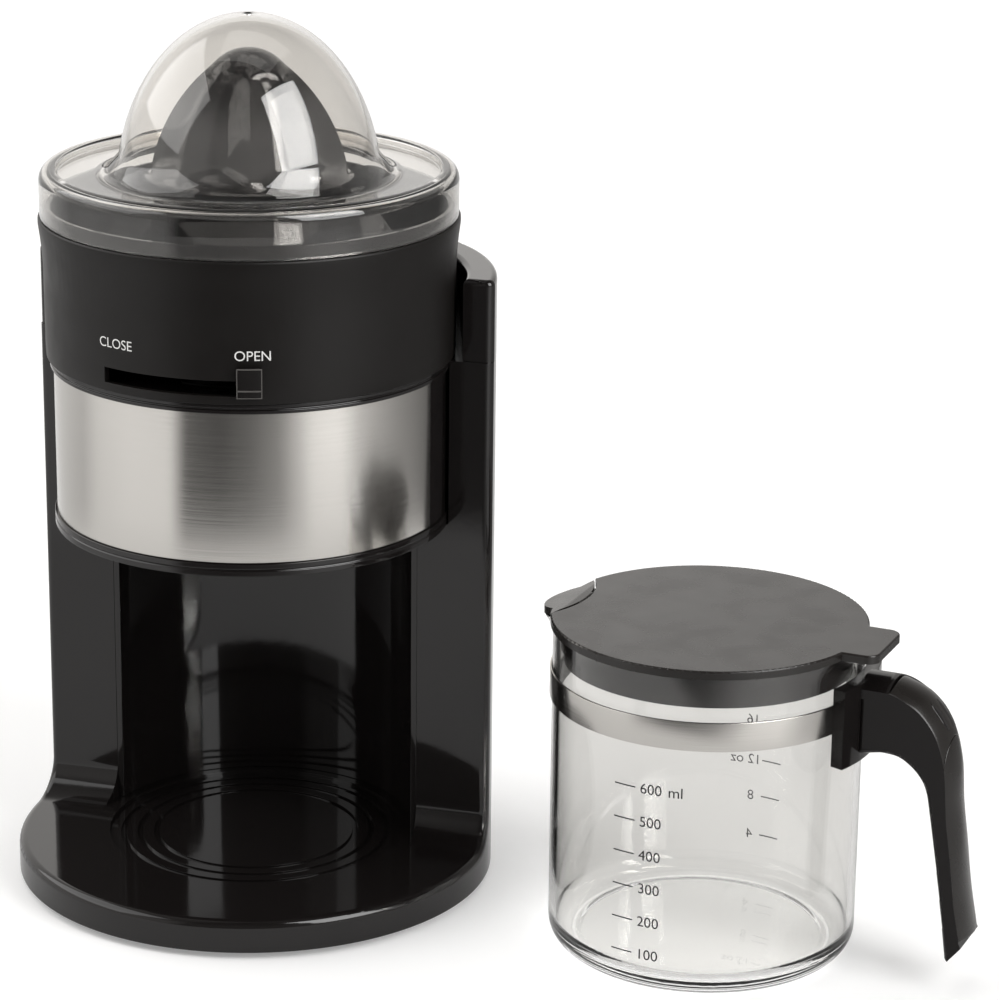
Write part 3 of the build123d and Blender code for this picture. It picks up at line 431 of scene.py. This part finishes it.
def tab_bar(number, low, high, start, end, out):
    """A bar on the lever's tab between two heights and two angles from its middle."""
    bar = hoop(tab_inside, tab_face + out, low, high, 0.1, steps=10,
               start=radians(lever_middle + start), angle=radians(end - start))
    name = "lever_bar_" + str(number)
    # The bars' lighter grey is a painted highlight.
    place_piece(name, bar, "flow_lever", material=tab_highlight_grey, hides=False)


tab_bar(1, 201.2, 201.7, -3.0, 3.0, 0.35)
tab_bar(2, 208.7, rim_high, -rim_half, rim_half, rim_rise)
tab_bar(3, rim_low, 199.1, -rim_half, rim_half, rim_rise)
tab_bar(4, rim_low, rim_high, -rim_half, -rim_half + rim_line, rim_rise)
tab_bar(5, rim_low, rim_high, rim_half - rim_line, rim_half, rim_rise)

# %% [markdown]
# ## The reamer
#
# The reamer is the ribbed cone that the orange half is pressed on. Each rib could be modelled and
# set round the cone, but then the hollows would not run smoothly into the ribs. Here the cone is
# turned first, and then the surface between its eight ribs is drawn in towards the axis. The
# hollow starts just above the skirt, runs up the whole side and ends in a round shoulder under the
# little dome at the top.


# %% Curves
def arc(start, middle, end, parts):
    """Points on the circle through three points, from the first to the last."""
    (ax, ay), (bx, by), (cx, cy) = start, middle, end
    twice = 2 * (ax * (by - cy) + bx * (cy - ay) + cx * (ay - by))
    a2, b2, c2 = ax * ax + ay * ay, bx * bx + by * by, cx * cx + cy * cy
    ox = (a2 * (by - cy) + b2 * (cy - ay) + c2 * (ay - by)) / twice
    oy = (a2 * (cx - bx) + b2 * (ax - cx) + c2 * (bx - ax)) / twice
    first, last = atan2(ay - oy, ax - ox), atan2(cy - oy, cx - ox)
    sweep = (last - first + pi) % (2 * pi) - pi
    radius = hypot(ax - ox, ay - oy)
    turns = [first + sweep * part / parts for part in range(parts + 1)]
    return [(ox + radius * cos(turn), oy + radius * sin(turn)) for turn in turns]


def smooth_step(value, low, high):
    """0 below low, 1 above high and an S between."""
    share = min(max((value - low) / (high - low), 0), 1)
    return share * share * (3 - 2 * share)


# %% Reamer
skirt = [(36.5, 257.0), (36.5, 257.7), (35.1, 258.2)]
cone = arc((34.4, 258.8), (26.5, 281.0), (12.4, 297.2), 34)
cap = arc((11.6, 298.0), (6.5, 301.6), (0.0, 302.9), 10)
inside = [(0.0, 268.2), (4.1, 268.2), (4.1, 243.0), (8.4, 243.0), (8.4, 258.0), (10.0, 262.0),
          (10.0, 284.0), (19.0, 276.0), (26.0, 264.0), (29.5, 257.0)]
ribs, first_rib = 8, radians(-69)
hollow = 0.21  # depth of a hollow as a share of the cone's radius
hollow_foot, hollow_top = (258.3, 266), (292, 297.2)

reamer = turned(skirt + cone + cap + inside, steps=320, start=first_rib)
for vert in reamer.verts:
    radius, height = hypot(vert.co.x, vert.co.y) / mm, vert.co.z / mm
    if any(abs(radius - r) + abs(height - z) < 0.05 for r, z in cone):
        turn = (atan2(vert.co.y, vert.co.x) - first_rib) / (2 * pi / ribs)
        from_rib = abs(turn - round(turn)) * 2
        depth = hollow * smooth_step(height, *hollow_foot) * (1 - smooth_step(height, *hollow_top))
        share = 1 - depth * (1 - (1 - from_rib) ** 2)
        vert.co.x *= share
        vert.co.y *= share
place_piece("ribbed_reamer", reamer, "reamer", sharp=38)

# %% [markdown]
# ## The clear dome
#
# The dust cover is one clear moulding: a high dome over the reamer with a vent in its top, a flat
# flange round it, and a shoulder and wall that drop over the bowl. A sphere with one skin would be
# quicker, but a real cover shows two reflections and dark rims. So the outline runs up the outside
# and back down the inside, one wall's thickness away, its corners are rounded, and it is spun.

# %% Dome
cover_foot, cover_top = (corner.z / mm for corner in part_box("dust_cover"))
wall, vent = 1.6, 1.4
cover_radius, shoulder, flange, dome_radius, dome_foot = 73.0, 262.2, 259.6, 46.2, 253.3


def dome_curve(radius, height, start=12, parts=24):
    """Points of the elliptical dome from its foot to the axis."""
    for part in range(parts + 1):
        angle = radians(start + (90 - start) * part / parts)
        yield radius * cos(angle), dome_foot + height * sin(angle)


outer = [(cover_radius, cover_foot), (cover_radius, shoulder), (67.2, shoulder), (66.6, flange),
         (50.8, flange), *dome_curve(dome_radius, cover_top - dome_foot)]
inner = [(cover_radius - wall, cover_foot), (cover_radius - wall, shoulder - wall),
         (68.8, shoulder - wall), (68.0, flange - wall), (49.6, flange - wall),
         *dome_curve(dome_radius - wall, cover_top - dome_foot - wall)]
outer[-1] = (vent, outer[-1][1])
inner[-1] = (vent, inner[-1][1])
outline = outer + inner[::-1]
last = len(outline) - 1
outer_rounds = [(1, 4.4), (2, 0.5), (3, 0.4), (4, 3.0)]
inner_rounds = [(last - 1, 2.0), (last - 2, 0.5), (last - 3, 0.4), (last - 4, 2.6)]
rim_rounds = [(0, 0.4), (last, 0.4)]
dome = turned(outline, steps=180, rounds=rim_rounds + outer_rounds + inner_rounds)
place_piece("clear_dome", dome, "dust_cover", sharp=50)

# %% [markdown]
# ## The carafe
#
# Glass, lid and handle keep the shapes of the frame with softened edges. Light that passes real
# glass still reaches the floor, but a renderer follows such bent light badly and would put a dark
# shadow there, so the glass casts none. The steel ring is turned round the carafe's own axis, and
# gets the same map as the drum's band.

# %% Glass, lid and handle block
softened("carafe_glass", 0.5).visible_shadow = False
for node, width in (("lid_skirt", 0.2), ("carafe_lid", 0.4), ("spout_cover", 0.3),
                    ("handle_plug", 0.2)):
    softened(node, width)
softened("handle_body", 0.45, material=handle_black)

# %% Steel ring
ring_in = 0.3  # gap between the glass and the ring's inside
ring_low, ring_high = (corner.z / mm for corner in ring_box)
steel_ring = hoop(glass_radius + ring_in, glass_radius + ring_out, ring_low, ring_high, sheet_edge,
                  centre=jug, steps=144)
place_piece("jug_band", wrap_uv(steel_ring, jug), "carafe_band")

# %% [markdown]
# ### The strips of the handle
#
# Two crowned strips make the handle's outer face, and meet at a round-topped seam. The solids have
# a crown of flat facets, which would break up the long reflection that runs down the handle, so
# the strips are drawn again. Each starts as a flat grid: one direction is laid along the handle's
# outer edge, the other across it, and the crown lifts the middle. A solidify modifier then gives
# the strip its thickness. `edge_line` is the outer edge in the plane of the handle, as distance
# from the carafe's axis and height.

# %% Edge line
edge_line = [(65.8, 105.7), (75.1, 102.6), (80.8, 98.4), (85.6, 91.2), (88.8, 79.7), (90.0, 65.3),
             (91.9, 51.6), (94.0, 35.5), (96.8, 20.1)]
edge_before, edge_after = (57.0, 106.0), (99.4, 4.0)  # where the line would run on to
edge_end = float(len(edge_line) - 1)
print("edge line of", len(edge_line), "points")


def through(a, b, c, d, part):
    """Value and slope a part of the way from b to c, on a smooth curve through four values."""
    bend, twist = 2 * a - 5 * b + 4 * c - d, 3 * (b - c) + d - a
    value = b + 0.5 * part * (c - a + part * (bend + part * twist))
    slope = 0.5 * (c - a + part * (2 * bend + part * 3 * twist))
    return value, slope


def along_edge(place):
    """Point and outward direction on the edge line; the whole numbers are its given points."""
    index = min(int(place), len(edge_line) - 2)
    four = [edge_before, *edge_line, edge_after][index:index + 4]
    out, out_slope = through(*(point[0] for point in four), place - index)
    up, up_slope = through(*(point[1] for point in four), place - index)
    length = hypot(out_slope, up_slope)
    return (out, up), (-up_slope / length, out_slope / length)


# %% Seam
half_width, crown = 10.2, 2.6
seam_height, seam_radius = 79.0, 10.4


def seam_place(across):
    """Where on the edge line the seam crosses, at a distance from the handle's middle."""
    height = seam_height + (seam_radius ** 2 - across ** 2) ** 0.5
    low, high = 0.0, edge_end
    while high - low > 0.001:
        middle = (low + high) / 2
        low, high = (middle, high) if along_edge(middle)[0][1] > height else (low, middle)
    return low


print("seam crosses the edge line at", round(seam_place(0), 2))

# %% Handle strips
handle_turn = radians(-7.5)
handle_cos, handle_sin = cos(handle_turn), sin(handle_turn)


def strip(name, node, start, end):
    """A crowned strip between two places on the edge line, each given by the distance across."""
    bm = bmesh.new()
    bmesh.ops.create_grid(bm, x_segments=24, y_segments=60, size=1)
    for vert in bm.verts:
        across = half_width * vert.co.x
        rise = crown * (1 - vert.co.x ** 2)
        share = (vert.co.y + 1) / 2
        first, last = start(across), end(across)
        (out, up), (lean_out, lean_up) = along_edge(first + (last - first) * share)
        out, up = out + rise * lean_out, up + rise * lean_up
        vert.co = Vector((jug.x + (out * handle_cos - across * handle_sin) * mm,
                          jug.y + (out * handle_sin + across * handle_cos) * mm, up * mm))
    bmesh.ops.recalc_face_normals(bm, faces=bm.faces[:])
    outward = Vector((handle_cos, handle_sin, 0.3))
    if sum(face.normal.dot(outward) for face in bm.faces) < 0:
        bmesh.ops.reverse_faces(bm, faces=bm.faces[:])
    piece = place_piece(name, bm, node, sharp=180)
    thick = piece.modifiers.new("thickness", "SOLIDIFY")
    thick.thickness = 1.2 * mm
    thick.offset = -1
    edge = piece.modifiers.new("edge", "BEVEL")
    edge.width = 0.3 * mm
    edge.segments = 2
    edge.limit_method = "ANGLE"
    edge.angle_limit = radians(40)
    return piece


# %% Both strips
strip_top, seam_gap = 0.24, 0.01
strip("handle_top_strip", "handle_inlay",
      lambda across: strip_top, lambda across: seam_place(across) - seam_gap)
strip("handle_grip_strip", "handle_grip",
      lambda across: seam_place(across) + seam_gap, lambda across: edge_end)

# %% [markdown]
# ## Printing
#
# Words and scale marks are pad-printed: films of ink a few hundredths of a millimetre thick that
# follow the round wall they sit on. They could be a picture on a UV map, but that would need a file
# and would blur close up, and geometry stays crisp. A text is made flat, turned into a mesh and
# then wrapped round the axis.


# %% Letters on round walls
def wrapped_text(words, height, radius, plan_angle, foot, centre=(0, 0)):
    """Letters of a height, centred on a plan angle, with their feet at a level, on a round wall."""
    letters = bpy.data.curves.new(words, "FONT")
    letters.body = words
    letters.align_x = "CENTER"
    carrier = bpy.data.objects.new(words, letters)
    bpy.context.scene.collection.objects.link(carrier)
    bpy.context.view_layer.update()
    ready = carrier.evaluated_get(bpy.context.evaluated_depsgraph_get())
    flat = bpy.data.meshes.new_from_object(ready)
    bpy.data.objects.remove(carrier)
    bm = bmesh.new()
    bm.from_mesh(flat)
    bmesh.ops.remove_doubles(bm, verts=bm.verts[:], dist=1e-5)
    lowest = min(v.co.y for v in bm.verts)
    scale = height * mm / (max(v.co.y for v in bm.verts) - lowest)
    for vert in bm.verts:
        turn = radians(plan_angle) + vert.co.x * scale / (radius * mm)
        vert.co = Vector((centre[0] + radius * mm * cos(turn), centre[1] + radius * mm * sin(turn),
                          foot * mm + (vert.co.y - lowest) * scale))
    bmesh.ops.recalc_face_normals(bm, faces=bm.faces[:])
    return bm


# %% Films of ink
def scale_line(height, radius, start, end):
    """One line of a scale between two plan angles, on the carafe."""
    thick, film = 0.45, 0.04
    return hoop(radius, radius + film, height, height + thick, centre=jug, steps=12,
                start=radians(start), angle=radians(end - start))


def print_all(name, parts, node, slot):
    """Joins printed parts into one film of ink."""
    whole = bmesh.new()
    for part in parts:
        film = bpy.data.meshes.new(name + "_part")
        part.to_mesh(film)
        part.free()
        whole.from_mesh(film)
    place_piece(name, whole, node, material=slot_finish[slot], hides=False)


# %% Words beside the lever
bowl_wall, word_height = 72.12, 3.4
lever_words = [wrapped_text("CLOSE", word_height, bowl_wall, -90 - 19.0, 211.4),
               wrapped_text("OPEN", word_height, bowl_wall, -90 + 20.7, 211.2)]
print_all("lever_words", lever_words, "juice_bowl", "pale_print")

# %% [markdown]
# ### The carafe's scale
#
# Millilitres are printed on the side towards the front and ounces on the far side. The lines stand
# at the heights that the fluid reaches, and each number is centred on its line.

# %% Scale of the carafe
number_height, below_line = 3.7, 1.6
line_radius = glass_radius + 0.02
number_radius = line_radius + 0.02
millilitres = {600: 75.0, 500: 63.0, 400: 50.8, 300: 38.7, 200: 26.6, 100: 14.6}
ounces = {"4": 18.4, "8": 33.5, "12 oz": 47.5, "16": 62.9}


def scale_number(words, plan_angle, line_height):
    """A number or unit beside a line of the scale."""
    return wrapped_text(words, number_height, number_radius, plan_angle, line_height - below_line,
                        jug)


marks = []
for amount, height in millilitres.items():
    marks.append(scale_line(height, line_radius, -111.3, -102.8))
    marks.append(scale_number(str(amount), -96.8, height))
marks.append(scale_number("ml", -87.6, millilitres[600]))
for words, height in ounces.items():
    marks.append(scale_line(height, line_radius, 71.4, 79.6))
    marks.append(scale_number(words, 84.0 if len(words) < 3 else 86.5, height))
print_all("carafe_scale", marks, "carafe_glass", "dark_print")

# %% [markdown]
# ## Floor, light and camera
#
# The set is a small white studio. Polished black has hardly a colour of its own and shows what
# stands round it, so the surround is the most of its look: a wide pale wall on the left, a brighter
# patch on the right, a bright corner at the back left, and a dim room behind the camera, which is
# what keeps the front black. Cards and screens could be built as objects, but a grey that changes
# with the plan angle does the same with one colour ramp. To the camera, and through glass, floor
# and surround are white of themselves, and the lamps stay at a plain level.


# %% Shader arithmetic
def arithmetic(tree, operation, *values):
    """One arithmetic step on outputs or plain numbers."""
    node = tree.nodes.new("ShaderNodeMath")
    node.operation = operation
    for socket, value in zip(node.inputs, values):
        if isinstance(value, (int, float)):
            socket.default_value = value
        else:
            tree.links.new(value, socket)
    return node.outputs[0]


def ray_is(tree, *kinds):
    """1 for the given kinds of ray, else 0."""
    path = tree.nodes.new("ShaderNodeLightPath")
    total = path.outputs[kinds[0]]
    for kind in kinds[1:]:
        total = arithmetic(tree, "MAXIMUM", total, path.outputs[kind])
    return total


def smooth_range(tree, value, low, high, start, end):
    """Leads low..high smoothly over to start..end."""
    node = tree.nodes.new("ShaderNodeMapRange")
    node.interpolation_type = "SMOOTHSTEP"
    limits = {"From Min": low, "From Max": high, "To Min": start, "To Max": end}
    for label, number in limits.items():
        node.inputs[label].default_value = number
    tree.links.new(value, node.inputs["Value"])
    return node.outputs["Result"]


# %% Grey by plan angle
def grey_by_angle(tree, x, y, levels):
    """Warm grey by plan angle round the juicer, from (angle in degrees, level) pairs."""
    turn = arithmetic(tree, "MULTIPLY_ADD", arithmetic(tree, "ARCTAN2", y, x), 1 / (2 * pi), 0.5)
    room = tree.nodes.new("ShaderNodeValToRGB")
    tree.links.new(turn, room.inputs["Fac"])
    stops = room.color_ramp.elements
    while len(stops) < len(levels):
        stops.new(0.5)
    for stop, (angle, level) in zip(stops, levels):
        stop.position = angle / 360 + 0.5
        stop.color = (level, level * 0.975, level * 0.945, 1)
    return room.outputs["Color"]


# %% Surround
wall_levels = [
    (-180, 0.90), (-160, 0.85), (-122, 0.62), (-112, 0.55),  # left, a wide pale wall
    (-104, 0.16), (-60, 0.14),  # behind the camera, a dim room
    (-46, 0.30), (-36, 0.60), (-18, 0.55), (0, 0.36),  # right, a patch round the lamp
    (25, 0.30), (62, 0.28), (86, 0.45),  # back right, in shade
    (106, 1.15), (130, 1.05), (180, 0.90)]  # back left, a bright corner

world = bpy.data.worlds.new("studio")
bpy.context.scene.world = world
world.use_nodes = True
studio = world.node_tree
background = studio.nodes["Background"]
direction = studio.nodes.new("ShaderNodeTexCoord")
heading = studio.nodes.new("ShaderNodeSeparateXYZ")
studio.links.new(direction.outputs["Generated"], heading.inputs["Vector"])
walls = grey_by_angle(studio, heading.outputs["X"], heading.outputs["Y"], wall_levels)
seen = studio.nodes.new("ShaderNodeMix")
seen.data_type = "RGBA"
seen.inputs["B"].default_value = (1, 1, 1, 1)
studio.links.new(ray_is(studio, "Is Camera Ray", "Is Transmission Ray"), seen.inputs["Factor"])
studio.links.new(walls, seen.inputs["A"])
studio.links.new(seen.outputs["Result"], background.inputs["Color"])
print("surround with", len(wall_levels), "levels")

# %% [markdown]
# A real room is dimmer overhead than along a lit wall, and the top of the dome and the drum mirror
# that. So the surround fades with the height of the direction, but only in reflections, and what it
# gives as light stays the same.

# %% Ceiling
ceiling_start, ceiling_end, ceiling_level = 0.42, 0.82, 0.30
ceiling = smooth_range(studio, heading.outputs["Z"], ceiling_start, ceiling_end, 1.0, ceiling_level)
not_mirrored = arithmetic(studio, "SUBTRACT", 1.0, ray_is(studio, "Is Glossy Ray"))
strength = arithmetic(studio, "MAXIMUM", ceiling, not_mirrored)
studio.links.new(strength, background.inputs["Strength"])
print("ceiling from 1 to", ceiling_level)

# %% [markdown]
# ### Floor
#
# The floor is a wide sheet of white paper. A matt white one would be enough for the camera, but the
# stand mirrors it from close to the foot to far away. So its mirrored grey also changes with the
# plan angle beyond a near patch, as light falls off over a real floor. A faint glow that grows
# with distance lets it run into the white surround without a line, and shadows still lie on it.

# %% Floor sheet
bm = bmesh.new()
bmesh.ops.create_circle(bm, cap_ends=True, segments=64, radius=12)
floor_mesh = bpy.data.meshes.new("floor")
bm.to_mesh(floor_mesh)
bm.free()
floor = bpy.data.objects.new("floor", floor_mesh)
bpy.context.scene.collection.objects.link(floor)
print("floor", [round(side, 1) for side in floor.dimensions], "metres")

# %% Grey of the floor
floor_levels = [
    (-180, 0.50), (-165, 0.72), (-141, 0.82), (-116, 0.84),  # left, under the pale wall
    (-107, 0.12), (-87, 0.08), (-71, 0.14), (-55, 0.26),  # towards the camera, dim
    (-44, 0.55), (-36, 0.80), (-20, 0.85), (-8, 0.55), (2, 0.45),  # right, under the lamp
    (22, 0.30), (52, 0.15),  # back right, in shade
    (82, 0.60), (120, 0.80), (180, 0.50)]  # back left
paper_white = 0.80
near_end, far_start, near_level = 0.36, 0.42, 0.68

paper = finish("white_paper", (paper_white, paper_white, paper_white), 1.0)
sheet = paper.node_tree
spot = sheet.nodes.new("ShaderNodeTexCoord")
across = sheet.nodes.new("ShaderNodeSeparateXYZ")
sheet.links.new(spot.outputs["Object"], across.inputs["Vector"])
length = sheet.nodes.new("ShaderNodeVectorMath")
length.operation = "LENGTH"
sheet.links.new(spot.outputs["Object"], length.inputs[0])
distance = length.outputs["Value"]
far = grey_by_angle(sheet, across.outputs["X"], across.outputs["Y"], floor_levels)
near_share = smooth_range(sheet, distance, near_end, far_start, 1.0, 0.0)
far_share = arithmetic(sheet, "SUBTRACT", 1.0, near_share)
near = arithmetic(sheet, "MULTIPLY", near_share, near_level)
mirrored_level = arithmetic(sheet, "MULTIPLY_ADD", far, far_share, near)
not_glossy = arithmetic(sheet, "SUBTRACT", 1.0, ray_is(sheet, "Is Glossy Ray"))
level = arithmetic(sheet, "MAXIMUM", mirrored_level, not_glossy)
print("floor with", len(floor_levels), "levels")

# %% Paper
glow_start, glow_end, glow_near, glow_far = 0.3, 2.4, 0.26, 0.60

paper_shader = sheet.nodes["Principled BSDF"]
tint = sheet.nodes.new("ShaderNodeCombineColor")
for channel in tint.inputs:
    sheet.links.new(arithmetic(sheet, "MULTIPLY", level, paper_white), channel)
sheet.links.new(tint.outputs["Color"], paper_shader.inputs["Base Color"])
glow = arithmetic(sheet, "MULTIPLY",
                  ray_is(sheet, "Is Camera Ray", "Is Glossy Ray", "Is Transmission Ray"),
                  smooth_range(sheet, distance, glow_start, glow_end, glow_near, glow_far))
paper_shader.inputs["Specular IOR Level"].default_value = 0.0
paper_shader.inputs["Emission Color"].default_value = (1, 1, 1, 1)
emission = arithmetic(sheet, "MULTIPLY", glow, level)
sheet.links.new(emission, paper_shader.inputs["Emission Strength"])
floor_mesh.materials.append(paper)
print("glow of the floor", glow_near, "to", glow_far)

# %% [markdown]
# ### Lamps
#
# A large soft box on the left and a smaller, stronger one on the right light the object, with a dim
# one above the back. A bare lamp would draw a hard shape in the polished black, so the right and
# the top box aren't seen in reflections. The right panel is the other way about: it lights no
# surface, and is only the bright window that the drum, the bowl and the glass mirror.


# %% Lamps
def soft_box(name, plan_angle, distance, height, size, radiance, aim=0.15):
    """A rectangular lamp at a plan angle from the juicer, with its brightness as radiance."""
    lamp = bpy.data.lights.new(name, "AREA")
    lamp.shape = "RECTANGLE"
    lamp.size, lamp.size_y = size
    lamp.energy = radiance * pi * size[0] * size[1]
    box = bpy.data.objects.new(name, lamp)
    bpy.context.scene.collection.objects.link(box)
    angle = radians(plan_angle)
    box.location = (distance * cos(angle), distance * sin(angle), height)
    box.rotation_euler = (Vector((0, 0, aim)) - box.location).to_track_quat("-Z", "Y").to_euler()
    print(name, "watts", round(lamp.energy, 1))
    return box


soft_box("left_soft_box", -168, 1.3, 1.15, size=(2.0, 1.2), radiance=1.6)
right = soft_box("right_soft_box", -22, 1.4, 1.05, size=(0.72, 1.15), radiance=5.6)
right.visible_glossy = False
panel = soft_box("right_panel", -24, 1.4, 1.12, size=(1.1, 1.4), radiance=6.5)
panel.visible_diffuse = False
above = soft_box("top_soft_box", 90, 0.3, 1.9, size=(1.4, 1.2), radiance=1.2)
above.visible_glossy = False

# %% [markdown]
# ### Camera
#
# A long lens from a little above and to the right of the front, as one stands at a kitchen counter.
# The direction could be set by a constraint that aims at the object, but a fixed direction and a
# slight roll say exactly what the frame holds.

# %% Camera
camera_place = (0.42639, -1.15088, 0.53285)
camera_forward = Vector((-0.26569, 0.91452, -0.30506))
camera_roll = 0.0119

camera = bpy.data.objects.new("camera", bpy.data.cameras.new("camera"))
bpy.context.scene.collection.objects.link(camera)
bpy.context.scene.camera = camera
camera.data.lens = 129.4
camera.data.sensor_width = 36
camera.location = camera_place
upright = camera_forward.to_track_quat("-Z", "Y").to_matrix()
roll = Matrix.Rotation(camera_roll, 3, camera_forward)
camera.rotation_euler = (roll.inverted() @ upright).to_euler()
bpy.context.scene.view_settings.view_transform = "Standard"
print("camera", camera_place, "lens", round(camera.data.lens, 1))
